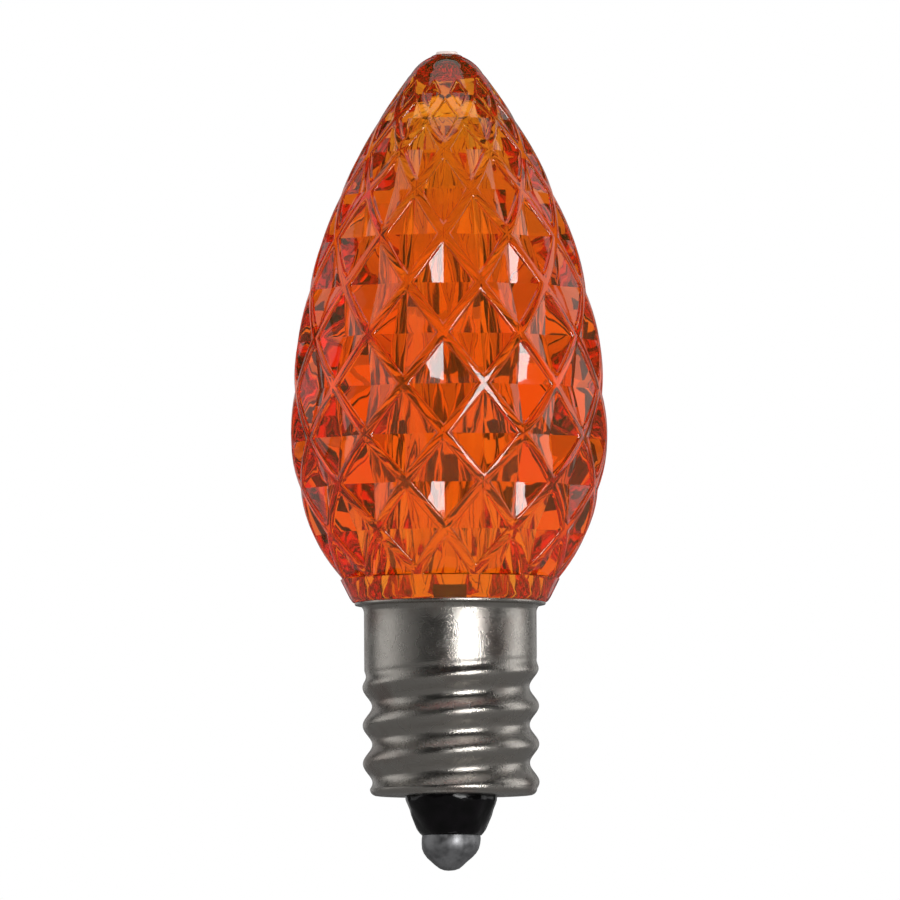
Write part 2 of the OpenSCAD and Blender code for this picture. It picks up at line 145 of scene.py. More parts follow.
# Flags round the bulb: name, shares of the full turn in degrees, rims as (radius, height) in metres,
# cloth, and whether the flag shows only through the lens. The others show only in reflections, so that
# the nickel has depth.
CLOTHS = {"black_flag_cloth": ("181818", "202020"), "charcoal_flag_cloth": ("4A4A4A", "525252"),
          "grey_table_cloth": ("747474", "808080"), "red_brown_card": ("3C140C", "481810")}
WHOLE_TURN = ((0.0, 360.0),)
CARD_SHARES = tuple((a - 8.0, a + 8.0) for a in (45.0, 135.0, 225.0, 315.0))
LOW_RIMS = ((0.75, 0.16), (0.75, -0.11))
FLAGS = (
    ("dark_surround", WHOLE_TURN, ((0.75, 0.7), (0.75, 0.16)), "black_flag_cloth", False),
    ("dark_roof", WHOLE_TURN, ((0.32, 0.71), (0.75, 0.7)), "black_flag_cloth", False),
    ("dark_camera_side", ((-122.0, -82.0),), LOW_RIMS, "black_flag_cloth", False),
    ("dim_sides", ((-82.0, 238.0),), LOW_RIMS, "charcoal_flag_cloth", False),
    ("grey_table", WHOLE_TURN, ((0.75, -0.11), (0.02, -0.112)), "grey_table_cloth", False),
    ("red_strips", CARD_SHARES, ((0.74, 0.7), (0.74, -0.11)), "red_brown_card", True),
    ("red_band", WHOLE_TURN, ((0.74, 0.26), (0.74, 0.12)), "red_brown_card", True),
)

# Degrees between the folds of a flag
FLAG_STEP = 6

# Softboxes, which don't show through the lens: name, bearing from the camera to the right in degrees,
# height, width and tallness in metres, and power in watts
LAMP_R = 0.7
LAMPS = (
    ("key", 24, 0.07, 0.21, 0.36, 2.6),
    ("right", 100, 0.3, 0.4, 0.8, 1.15),
    ("left", -97, 0.3, 0.65, 0.8, 1.1),
    ("left_fill", -62, 0.3, 0.3, 0.8, 0.14),
    ("back_right", 152, 0.3, 0.3, 0.8, 0.3),
    ("back_left", 205, 0.3, 0.3, 0.8, 0.3),
)


class LensSizes(bpy.types.PropertyGroup):
    width: bpy.props.FloatProperty(name="Width", description="Over the lattice ribs, in mm", default=21.1)
    belly_z: bpy.props.FloatProperty(name="Belly height", description="Height of the widest place, in mm",
                                     default=29.2)
    tip_z: bpy.props.FloatProperty(name="Tip height", description="Height of the smooth tip, in mm",
                                   default=54.55)
    flank_r: bpy.props.FloatProperty(name="Flank radius", description="Arc from the belly to the tip, in mm",
                                     default=39.5)
    belly_r: bpy.props.FloatProperty(name="Belly radius", default=16.4,
                                     description="Arc from the belly to the neck, in mm")
    neck_r: bpy.props.FloatProperty(name="Neck radius", description="Radius on the shell's rim, in mm",
                                    default=6.55)
    neck_h: bpy.props.FloatProperty(name="Neck height", description="Height of the plain band, in mm",
                                    default=1.5)
    gate_r: bpy.props.FloatProperty(name="Gate radius", description="Radius of the gate mark, in mm",
                                    default=1.05)
    columns: bpy.props.IntProperty(name="Columns", description="Diamond cells around the lens", default=12)
    rows: bpy.props.IntProperty(name="Rows", description="Rows of lattice nodes, an even number",
                                default=12)
    turn: bpy.props.FloatProperty(name="Turn", description="Turn of the lattice, in degrees", default=-2.0)
    rib_w: bpy.props.FloatProperty(name="Rib width", description="Width of a rib, in mm", default=0.75)
    rib_edge: bpy.props.FloatProperty(name="Rib edge", description="Width of a rib's rounded edge, in mm",
                                      default=0.13)
    depth: bpy.props.FloatProperty(name="Cell depth", description="Share of a cell's half width",
                                   default=0.27, subtype="FACTOR")
    cap_h: bpy.props.FloatProperty(name="Cap height", description="Smooth cap above the nodes, in mm",
                                   default=1.55)
    crowding: bpy.props.FloatProperty(name="Crowding", description="How the rows close up to the tip",
                                      default=0.095, subtype="FACTOR")
    core_r: bpy.props.FloatProperty(name="Core radius", description="Hollow core at the board, in mm",
                                    default=4.5)
    core_top_r: bpy.props.FloatProperty(name="Core top radius", description="Hollow core at its dome, in mm",
                                        default=2.2)
    core_roof: bpy.props.FloatProperty(name="Core roof", description="Wall above the dome, in mm",
                                       default=4.0)
    spigot_r: bpy.props.FloatProperty(name="Spigot radius", description="Radius in the shell, in mm",
                                      default=5.35)
    bore_r: bpy.props.FloatProperty(name="Bore radius", description="Bore of the spigot, in mm",
                                    default=4.1)
    amber: bpy.props.StringProperty(name="Amber", description="Tint of the lens, as a hex colour",
                                    default="FEC438")


class BaseSizes(bpy.types.PropertyGroup):
    collar_r: bpy.props.FloatProperty(name="Collar radius", description="Plain collar, in mm", default=5.75)
    crest_r: bpy.props.FloatProperty(name="Crest radius", description="Thread crests, in mm", default=5.88)
    root_r: bpy.props.FloatProperty(name="Root radius", description="Thread roots, in mm", default=5.25)
    pitch: bpy.props.FloatProperty(name="Pitch", description="Pitch of the thread, in mm", default=2.54)
    collar_l: bpy.props.FloatProperty(name="Collar length", description="Flare included, in mm",
                                      default=4.3)
    flare_h: bpy.props.FloatProperty(name="Flare height", description="Height of the flare, in mm",
                                     default=0.65)
    sheet: bpy.props.FloatProperty(name="Sheet", description="Thickness of the metal, in mm", default=0.25)
    hole_r: bpy.props.FloatProperty(name="Floor hole", description="Radius of the hole, in mm",
                                    default=3.15)
    floor_round: bpy.props.FloatProperty(name="Floor round", description="Round at the floor, in mm",
                                         default=0.45)
    nickel: bpy.props.StringProperty(name="Nickel", description="Hex colour of the plating",
                                     default="B9B4AD")


def linear(code):
    """Linear colour of an sRGB hex value."""
    channels = [int(code[i:i + 2], 16) / 255 for i in (0, 2, 4)]
    return tuple(c / 12.92 if c <= 0.04045 else ((c + 0.055) / 1.055) ** 2.4 for c in channels) + (1.0,)


def add(tree, kind, *values, sockets=None, **settings):
    """Adds one node: values fill its inputs in order, sockets by name, and settings are its properties."""
    node = tree.nodes.new(kind)
    for name, value in settings.items():
        setattr(node, name, value)
    for key, value in [*enumerate(values), *(sockets or {}).items()]:
        if value is None:
            continue
        if isinstance(value, bpy.types.Node):
            value = next(o for o in value.outputs if o.enabled)
        if isinstance(value, bpy.types.NodeSocket):
            tree.links.new(value, node.inputs[key])
        else:
            node.inputs[key].default_value = value
    return node


def new_material(name):
    """A material with an empty tree, its output and its principled shader."""
    material = bpy.data.materials.new(name)
    material.use_nodes = True
    tree = material.node_tree
    tree.nodes.clear()
    shader = add(tree, "ShaderNodeBsdfPrincipled")
    output = add(tree, "ShaderNodeOutputMaterial", shader)
    return material, tree, shader, output


def keep(name, mesh, material, slot, *nodes):
    """Makes a finished piece of a mesh: it rides on the bulb and stands for its CAD nodes."""
    piece = bpy.data.objects.new(name, mesh)
    bpy.context.scene.collection.objects.link(piece)
    mesh.materials.clear()
    mesh.materials.append(material)
    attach(piece, "root")
    if nodes:
        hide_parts(*nodes)
    return piece


def dress(node, material):
    """Gives a CAD node its material."""
    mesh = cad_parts[node].data
    mesh.materials.clear()
    mesh.materials.append(material)


# Materials

def amber_polycarbonate(tint):
    """Moulded polycarbonate, dyed amber in the mass: sharp reflections, and colour that deepens with
    thickness. Its skin ripples faintly over about 4 mm."""
    material, tree, shader, output = new_material("moulded_amber_polycarbonate")
    shader.inputs["Base Color"].default_value = linear("FAD65C")
    shader.inputs["Roughness"].default_value = 0.03
    shader.inputs["IOR"].default_value = 1.586
    shader.inputs["Transmission Weight"].default_value = 0.97
    place = add(tree, "ShaderNodeTexCoord").outputs["Object"]
    ripple = add(tree, "ShaderNodeTexNoise", sockets={"Vector": place, "Scale": RIPPLE / MM, "Detail": 3.0})
    bump = add(tree, "ShaderNodeBump", sockets={"Strength": 0.3, "Distance": 0.00006, "Height": ripple})
    tree.links.new(bump.outputs[0], shader.inputs["Normal"])
    dye = add(tree, "ShaderNodeVolumeAbsorption", sockets={"Color": linear(tint), "Density": 290.0})
    tree.links.new(dye.outputs[0], output.inputs["Volume"])
    return material


def nickel_plate(tone):
    """Drawn brass sheet with bright nickel plate: mirror-like under a fine pebbled grain, with uneven gloss
    and brownish blotches of tarnish."""
    material, tree, shader, _ = new_material("nickel_plated_brass")
    shader.inputs["Metallic"].default_value = 1.0
    place = add(tree, "ShaderNodeTexCoord").outputs["Object"]
    haze = add(tree, "ShaderNodeTexNoise", sockets={"Vector": place, "Scale": HAZE / MM, "Detail": 4.0})
    grain = add(tree, "ShaderNodeTexNoise", sockets={"Vector": place, "Scale": GRAIN / MM, "Detail": 1.0})
    blotch = add(tree, "ShaderNodeTexNoise", sockets={"Vector": place, "Scale": BLOTCH / MM, "Detail": 4.0})
    stain = add(tree, "ShaderNodeMapRange", blotch, 0.52, 0.75, 0.0, 0.55)
    colour = add(tree, "ShaderNodeMix", data_type="RGBA")
    tree.links.new(stain.outputs[0], colour.inputs["Factor"])
    colour.inputs[6].default_value = linear(tone)
    colour.inputs[7].default_value = linear("7A5A50")
    tree.links.new(colour.outputs[2], shader.inputs["Base Color"])
    gloss = add(tree, "ShaderNodeMapRange", haze, 0.3, 0.7, 0.2, 0.32)
    tree.links.new(gloss.outputs[0], shader.inputs["Roughness"])
    bump = add(tree, "ShaderNodeBump", sockets={"Strength": 0.9, "Distance": 0.00002, "Height": grain})
    tree.links.new(bump.outputs[0], shader.inputs["Normal"])
    return material


def mottled(name, tones, roughness, grain, depth, metallic=0.0, ior=1.5):
    """A plain surface with two mixed tones, uneven gloss and a fine grain, given in millimetres."""
    material, tree, shader, _ = new_material(name)
    shader.inputs["Metallic"].default_value = metallic
    shader.inputs["IOR"].default_value = ior
    place = add(tree, "ShaderNodeTexCoord").outputs["Object"]
    patch = add(tree, "ShaderNodeTexNoise",
                sockets={"Vector": place, "Scale": 1 / (grain * MM), "Detail": 4.0})
    share = add(tree, "ShaderNodeMapRange", patch, 0.35, 0.65)
    colour = add(tree, "ShaderNodeMix", data_type="RGBA")
    tree.links.new(share.outputs[0], colour.inputs["Factor"])
    colour.inputs[6].default_value = linear(tones[0])
    colour.inputs[7].default_value = linear(tones[1])
    tree.links.new(colour.outputs[2], shader.inputs["Base Color"])
    gloss = add(tree, "ShaderNodeMapRange", patch, 0.3, 0.7, roughness[0], roughness[1])
    tree.links.new(gloss.outputs[0], shader.inputs["Roughness"])
    bump = add(tree, "ShaderNodeBump", sockets={"Strength": 0.5, "Distance": depth * MM, "Height": patch})
    tree.links.new(bump.outputs[0], shader.inputs["Normal"])
    return material


# Faceted lens

def cell_mesh(sizes):
    """One flat diamond of the lattice: half of each rib round it, the ribs' rounded edges, and the sunk
    cell. Each point carries its inset from the rib's middle and its drop, in mm, and its share of the way
    down."""
    rib, edge = sizes.rib_w / 2, sizes.rib_edge
    rings = [(0.0, 0.0, 0.0), (rib * 0.5, 0.006, 0.0), (rib - edge, 0.02, 0.0),
             (rib - edge * 0.6, 0.05, 0.0), (rib - edge * 0.25, 0.1, 0.0), (rib, 0.15, 0.0),
             (rib, 0.1, 1 / 3), (rib, 0.05, 2 / 3)]
    around = 4 * CELL_STEPS
    edge_at = 5 * around
    points = []
    for inset, drop, down in rings:
        for i in range(around):
            side, t = divmod(i / CELL_STEPS, 1)
            across = (1 - t, -t, t - 1, t)[int(side)]
            along = (t, 1 - t, -t, t - 1)[int(side)]
            points.append((across, along, inset, drop, down))
    points.append((0.0, 0.0, rib, 0.0, 1.0))
    bm = bmesh.new()
    verts = [bm.verts.new((p[0], p[1], 0.0)) for p in points]
    for ring in range(len(rings) - 1):
        for i in range(around):
            a, b = ring * around + i, ring * around + (i + 1) % around
            bm.faces.new([verts[a], verts[b], verts[b + around], verts[a + around]])
    last = (len(rings) - 1) * around
    for i in range(around):
        bm.faces.new([verts[last + i], verts[last + (i + 1) % around], verts[-1]])
    for face in bm.faces:
        face.smooth = True
    bm.verts.index_update()
    for e in bm.edges:
        a, b = sorted(v.index for v in e.verts)
        crease = a % around % CELL_STEPS == 0 and a >= edge_at and b - a in (around, len(points) - 1 - a)
        rim = edge_at <= a and b < edge_at + around
        e.smooth = not (crease or rim)
    mesh = bpy.data.meshes.new("lattice_cell")
    bm.to_mesh(mesh)
    bm.free()
    for index, name in enumerate(("inset", "drop", "down"), start=2):
        layer = mesh.attributes.new(name, "FLOAT", "POINT")
        layer.data.foreach_set("value", [p[index] for p in points])
    return mesh


def round_axis(tree, radius, bearing, height):
    """Place in metres of a radius, a bearing and a height, which are in mm and radians."""
    x = add(tree, MATH, radius, add(tree, MATH, bearing, operation="COSINE"), operation="MULTIPLY")
    y = add(tree, MATH, radius, add(tree, MATH, bearing, operation="SINE"), operation="MULTIPLY")
    point = add(tree, "ShaderNodeCombineXYZ", x, y, height)
    return add(tree, "ShaderNodeVectorMath", point, operation="SCALE", sockets={"Scale": MM})


def lens_tree():
    """Geometry Nodes tree: copies the cell over rows and columns, and wraps it on the lens outline."""
    tree = bpy.data.node_groups.new("diamond_lattice", "GeometryNodeTree")
    tree.interface.new_socket("Cell", in_out="INPUT", socket_type="NodeSocketGeometry")
    for name in ("Columns", "Rows"):
        tree.interface.new_socket(name, in_out="INPUT", socket_type="NodeSocketInt")
    for name in ("Turn", "Low", "High", "Crowding", "Depth", "Belly Height", "Belly Width", "Belly Radius",
                 "Flank Radius", "Cap Start", "Cap Height", "Cap Radius"):
        tree.interface.new_socket(name, in_out="INPUT", socket_type="NodeSocketFloat")
    tree.interface.new_socket("Material", in_out="INPUT", socket_type="NodeSocketMaterial")
    tree.interface.new_socket("Lens", in_out="OUTPUT", socket_type="NodeSocketGeometry")
    given = add(tree, "NodeGroupInput").outputs

    def row_height(row):
        share = add(tree, MATH, row, given["Rows"], operation="DIVIDE")
        share = add(tree, MATH, share, 0.0, operation="MAXIMUM")
        late = add(tree, MATH, share, CROWDING_POWER, operation="POWER")
        wave = add(tree, MATH, add(tree, MATH, late, math.pi, operation="MULTIPLY"), operation="SINE")
        crowded = add(tree, MATH, wave, given["Crowding"], share, operation="MULTIPLY_ADD")
        span = add(tree, MATH, given["High"], given["Low"], operation="SUBTRACT")
        return add(tree, MATH, span, crowded, given["Low"], operation="MULTIPLY_ADD")

    def chord(radius, rise):
        square = add(tree, MATH, radius, 2.0, operation="POWER")
        rise_square = add(tree, MATH, rise, rise, operation="MULTIPLY")
        rest = add(tree, MATH, square, rise_square, operation="SUBTRACT")
        return add(tree, MATH, rest, operation="SQRT")

    def outline(z):
        low = add(tree, COMPARE, z, given["Belly Height"], data_type="FLOAT", operation="LESS_THAN")
        radius = add(tree, SWITCH, low, given["Flank Radius"], given["Belly Radius"], input_type="FLOAT")
        reach = chord(radius, add(tree, MATH, z, given["Belly Height"], operation="SUBTRACT"))
        inset = add(tree, MATH, reach, radius, operation="SUBTRACT")
        side = add(tree, MATH, inset, given["Belly Width"], operation="ADD")
        cap = chord(given["Cap Radius"], add(tree, MATH, z, given["Cap Height"], operation="SUBTRACT"))
        on_side = add(tree, COMPARE, z, given["Cap Start"], data_type="FLOAT", operation="LESS_THAN")
        return add(tree, SWITCH, on_side, cap, side, input_type="FLOAT")

    # One point for each cell, with its row and column, and a copy of the cell on each
    nodes_up = add(tree, MATH, given["Rows"], 1.0, operation="ADD")
    count = add(tree, MATH, given["Columns"], nodes_up, operation="MULTIPLY")
    laid = add(tree, "GeometryNodePoints", count)
    index = add(tree, "GeometryNodeInputIndex")
    row_of = add(tree, MATH, add(tree, MATH, index, given["Columns"], operation="DIVIDE"), operation="FLOOR")
    passed = add(tree, MATH, row_of, given["Columns"], operation="MULTIPLY")
    column_of = add(tree, MATH, index, passed, operation="SUBTRACT")
    for name, value in (("row", row_of), ("column", column_of)):
        laid = add(tree, "GeometryNodeStoreNamedAttribute", laid, None, name, value, data_type="FLOAT",
                   domain="POINT")
    copies = add(tree, "GeometryNodeInstanceOnPoints", laid, sockets={"Instance": given["Cell"]})
    cells = add(tree, "GeometryNodeRealizeInstances", copies)

    # Half height and half width of a cell, and the share of it that lies inside a point's inset
    read = {name: add(tree, "GeometryNodeInputNamedAttribute", name, data_type="FLOAT")
            for name in ("row", "column", "inset", "drop", "down")}
    spot = add(tree, "ShaderNodeSeparateXYZ", add(tree, "GeometryNodeInputPosition"))
    across, along = spot.outputs[0], spot.outputs[1]
    row = read["row"]
    here = row_height(row)
    row_above = row_height(add(tree, MATH, row, 1.0, operation="ADD"))
    row_under = row_height(add(tree, MATH, row, 1.0, operation="SUBTRACT"))
    above = add(tree, MATH, row_above, here, operation="SUBTRACT")
    under = add(tree, MATH, here, row_under, operation="SUBTRACT")
    first = add(tree, COMPARE, row, 0.5, data_type="FLOAT", operation="LESS_THAN")
    nearly_last = add(tree, MATH, given["Rows"], 0.5, operation="SUBTRACT")
    last = add(tree, COMPARE, nearly_last, row, data_type="FLOAT", operation="LESS_THAN")
    up = add(tree, SWITCH, last, above, under, input_type="FLOAT")
    down = add(tree, SWITCH, first, under, above, input_type="FLOAT")
    half_height = add(tree, MATH, add(tree, MATH, up, down, operation="ADD"), 0.5, operation="MULTIPLY")
    half_round = add(tree, MATH, outline(here), math.pi, operation="MULTIPLY")
    half_width = add(tree, MATH, half_round, given["Columns"], operation="DIVIDE")
    width_square = add(tree, MATH, half_width, 2.0, operation="POWER")
    height_square = add(tree, MATH, half_height, 2.0, operation="POWER")
    slant = add(tree, MATH, add(tree, MATH, width_square, height_square, operation="ADD"), operation="SQRT")
    moved = add(tree, MATH, read["inset"], slant, operation="MULTIPLY")
    spread = add(tree, MATH, half_width, half_height, operation="MULTIPLY")
    shrink = add(tree, MATH, moved, spread, operation="DIVIDE")
    within = add(tree, MATH, 1.0, shrink, operation="SUBTRACT")
    not_down = add(tree, MATH, 1.0, read["down"], operation="SUBTRACT")
    inside = add(tree, MATH, within, not_down, operation="MULTIPLY")

    # Bearing, height and radius of each point
    odd = add(tree, MATH, row, 2.0, operation="MODULO")
    side_step = add(tree, MATH, odd, 0.5, operation="MULTIPLY")
    step = add(tree, MATH, 2 * math.pi, given["Columns"], operation="DIVIDE")
    column = add(tree, MATH, read["column"], side_step, operation="ADD")
    turn = add(tree, MATH, given["Turn"], operation="RADIANS")
    front = add(tree, MATH, turn, math.pi / 2, operation="SUBTRACT")
    middle = add(tree, MATH, column, step, front, operation="MULTIPLY_ADD")
    aside = add(tree, MATH, across, inside, operation="MULTIPLY")
    half_step = add(tree, MATH, step, 0.5, operation="MULTIPLY")
    bearing = add(tree, MATH, aside, half_step, middle, operation="MULTIPLY_ADD")
    lower = add(tree, COMPARE, along, 0.0, data_type="FLOAT", operation="LESS_THAN")
    reach = add(tree, SWITCH, lower, above, under, input_type="FLOAT")
    lift = add(tree, MATH, along, inside, operation="MULTIPLY")
    z = add(tree, MATH, lift, reach, here, operation="MULTIPLY_ADD")
    deepest = add(tree, MATH, half_width, given["Depth"], operation="MULTIPLY")
    sink = add(tree, MATH, read["down"], deepest, operation="MULTIPLY")
    dropped = add(tree, MATH, sink, read["drop"], operation="ADD")
    sunk = add(tree, SWITCH, last, dropped, 0.0, input_type="FLOAT")
    radius = add(tree, MATH, outline(z), sunk, operation="SUBTRACT")

    # The lowest and the highest row keep half of each cell
    low_side = add(tree, COMPARE, along, -MIDDLE_LINE, data_type="FLOAT", operation="LESS_THAN")
    high_side = add(tree, COMPARE, MIDDLE_LINE, along, data_type="FLOAT", operation="LESS_THAN")
    low_half = add(tree, "FunctionNodeBooleanMath", first, low_side, operation="AND")
    high_half = add(tree, "FunctionNodeBooleanMath", last, high_side, operation="AND")
    spare = add(tree, "FunctionNodeBooleanMath", low_half, high_half, operation="OR")
    trimmed = add(tree, "GeometryNodeDeleteGeometry", cells, spare, domain="POINT")
    place = round_axis(tree, radius, bearing, z)
    wrapped = add(tree, "GeometryNodeSetPosition", trimmed, sockets={"Position": place})
    welded = add(tree, "GeometryNodeMergeByDistance", wrapped, sockets={"Distance": WELD * MM})
    solid = add(tree, "GeometryNodeRealizeInstances", welded)
    coated = add(tree, "GeometryNodeSetMaterial", solid, sockets={"Material": given["Material"]})
    add(tree, "NodeGroupOutput", coated)
    return tree


def run_tree(name, mesh, tree, inputs):
    """Runs a Geometry Nodes tree on a mesh and gives the result as a plain mesh."""
    carrier = bpy.data.objects.new(name, mesh)
    bpy.context.scene.collection.objects.link(carrier)
    modifier = carrier.modifiers.new(name, "NODES")
    modifier.node_group = tree
    for item in tree.interface.items_tree:
        if item.item_type == "SOCKET" and item.in_out == "INPUT" and item.name in inputs:
            modifier[item.identifier] = inputs[item.name]
    evaluated = carrier.evaluated_get(bpy.context.evaluated_depsgraph_get())
    result = bpy.data.meshes.new_from_object(evaluated)
    carrier.modifiers.remove(modifier)
    bpy.data.objects.remove(carrier)
    result.name = name
    return result


def open_loops(bm):
    """The open edges of a mesh at its low and its high end, each sorted by bearing."""
    loose = {v for e in bm.edges if e.is_boundary for v in e.verts}
    middle = sum(v.co.z for v in loose) / len(loose)
    around = sorted(loose, key=lambda v: math.atan2(v.co.y, v.co.x))
    return [v for v in around if v.co.z < middle], [v for v in around if v.co.z >= middle]


def grow(bm, loop, profile):
    """Grows rings from an open edge through (radius, height) pairs in mm, and gives the last ring."""
    for radius, height in profile:
        ring = []
        for v in loop:
            bearing = math.atan2(v.co.y, v.co.x)
            x, y = radius * MM * math.cos(bearing), radius * MM * math.sin(bearing)
            ring.append(bm.verts.new((x, y, height * MM)))
        for i in range(len(loop)):
            j = (i + 1) % len(loop)
            bm.faces.new([loop[i], loop[j], ring[j], ring[i]]).smooth = True
        loop = ring
    return loop


def arc(centre, radius, start, end, steps):
    """Points on an arc as (radius, height) pairs, from one angle to another in degrees."""
    angles = [math.radians(start + (end - start) * i / steps) for i in range(steps + 1)]
    return [(centre[0] + radius * math.cos(a), centre[1] + radius * math.sin(a)) for a in angles]


def lens_mesh(sizes, material):
    """The whole lens: the lattice, the cap with its gate mark, the neck, the spigot and the hollow core."""
    belly_x = sizes.width / 2
    tip_h = sizes.tip_z - sizes.belly_z
    flank_x = sizes.flank_r - belly_x
    cap_r = (sizes.flank_r ** 2 - flank_x ** 2 - tip_h ** 2) / (2 * (sizes.flank_r - tip_h))
    cap_z = sizes.tip_z - cap_r
    band_top = SHELL_HIGH + sizes.neck_h
    high = sizes.tip_z - sizes.cap_h
    mesh = run_tree("faceted_lens", cell_mesh(sizes), lens_tree(), {
        "Columns": sizes.columns, "Rows": sizes.rows, "Turn": sizes.turn, "Low": band_top + LATTICE_GAP,
        "High": high, "Crowding": sizes.crowding, "Depth": sizes.depth, "Belly Height": sizes.belly_z,
        "Belly Width": belly_x, "Belly Radius": sizes.belly_r, "Flank Radius": sizes.flank_r,
        "Cap Start": sizes.belly_z + (cap_z - sizes.belly_z) * sizes.flank_r / (sizes.flank_r - cap_r),
        "Cap Height": cap_z, "Cap Radius": cap_r, "Material": material})
    bm = bmesh.new()
    bm.from_mesh(mesh)
    old = set(bm.faces)
    low_loop, high_loop = open_loops(bm)
    gate_z = cap_z + math.sqrt(cap_r ** 2 - sizes.gate_r ** 2)
    start = math.degrees(math.asin((high - cap_z) / cap_r))
    end = math.degrees(math.asin((gate_z - cap_z) / cap_r))
    cap = arc((0, cap_z), cap_r, start, end, CAP_STEPS)[1:]
    flat_in, flat_z = GATE_FLAT[0], LENS_HIGH - GATE_FLAT[1]
    rim = [(sizes.gate_r - inwards, gate_z + up) for inwards, up in GATE_RIM]
    flat = [(sizes.gate_r - flat_in, flat_z), (sizes.gate_r * GATE_MIDDLE, flat_z)]
    top = grow(bm, high_loop, cap + rim + flat)
    bm.faces.new(top)
    outline_r = belly_x - sizes.belly_r + math.sqrt(sizes.belly_r ** 2 - (band_top - sizes.belly_z) ** 2)
    core_top = sizes.tip_z - sizes.core_roof
    dome_z = core_top - sizes.core_top_r
    taper = [(sizes.core_r + (sizes.core_top_r - sizes.core_r) * t, DIODE_HIGH + (dome_z - DIODE_HIGH) * t)
             for t in (i / TAPER_STEPS for i in range(TAPER_STEPS + 1))]
    neck = [(outline_r, band_top), (sizes.neck_r + NECK_SWELL, SHELL_HIGH + NECK_SWELL_H),
            (sizes.neck_r, SHELL_HIGH + NECK_ROUND), (sizes.neck_r - NECK_ROUND, SHELL_HIGH),
            (sizes.spigot_r, SHELL_HIGH), (sizes.spigot_r, LENS_LOW), (sizes.bore_r, LENS_LOW),
            (sizes.bore_r, BOARD_LOW), (sizes.core_r, BOARD_LOW)]
    dome = arc((0, dome_z), sizes.core_top_r, 0, DOME_END, DOME_STEPS)[1:]
    end_ring = grow(bm, low_loop, neck + taper + dome)
    bm.faces.new(end_ring)
    bmesh.ops.recalc_face_normals(bm, faces=bm.faces)
    for e in bm.edges:
        if any(f not in old for f in e.link_faces) and e.calc_face_angle(0) > math.radians(LENS_SHARP):
            e.smooth = False
    bm.to_mesh(mesh)
    bm.free()
    for name in ("row", "column", "inset", "drop", "down"):
        if name in mesh.attributes:
            mesh.attributes.remove(mesh.attributes[name])
    return mesh


# Screw shell

def sheet_section(sizes):
    """Section of the shell as (offset, height, kind) points, down its outside and back up its inside."""
    low = SHELL_LOW + sizes.floor_round
    collar = SHELL_HIGH - sizes.collar_l + SWEPT_COLLAR
    flare_z = SHELL_HIGH - sizes.flare_h
    thread_h = collar - low
    out = [(RIM_R - inwards, SHELL_HIGH - down, PLAIN) for inwards, down in RIM]
    out += [(sizes.collar_r + outwards, flare_z + up, PLAIN) for outwards, up in reversed(FLARE)]
    out += [(sizes.collar_r, flare_z - (flare_z - collar) * t, PLAIN) for t in (0.33, 0.66)]
    out += [(0.0, collar - thread_h * i / THREAD_ROWS, THREAD) for i in range(THREAD_ROWS + 1)]
    out += [(r - sizes.floor_round, z, FOOT)
            for r, z in arc((0, low), sizes.floor_round, FLOOR_START, -90, 5)]
    out += [(sizes.hole_r + HOLE_ROUND, SHELL_LOW, PLAIN), (sizes.hole_r, SHELL_LOW + HOLE_ROUND, PLAIN),
            (sizes.hole_r, SHELL_LOW + sizes.sheet, PLAIN)]
    out += [(r - sizes.floor_round, z, FOOT)
            for r, z in arc((0, low), sizes.floor_round - sizes.sheet, -90, FLOOR_START, 3)]
    inner_rows = THREAD_ROWS // 2
    out += [(-sizes.sheet, low + thread_h * i / inner_rows, THREAD) for i in range(inner_rows + 1)]
    out += [(sizes.collar_r - sizes.sheet, flare_z, PLAIN),
            (RIM_R - sizes.sheet - LIP[0], SHELL_HIGH - LIP[1], PLAIN)]
    mesh = bpy.data.meshes.new("sheet_section")
    count = len(out)
    mesh.from_pydata([(r, 0.0, z) for r, z, _ in out], [(i, (i + 1) % count) for i in range(count)], [])
    for name, values in (("offset", [p[0] for p in out]), ("height", [p[1] for p in out]),
                         ("thread", [float(p[2] != PLAIN) for p in out]),
                         ("sample", [low if p[2] == FOOT else p[1] for p in out])):
        layer = mesh.attributes.new(name, "FLOAT", "POINT")
        layer.data.foreach_set("value", values)
    return mesh


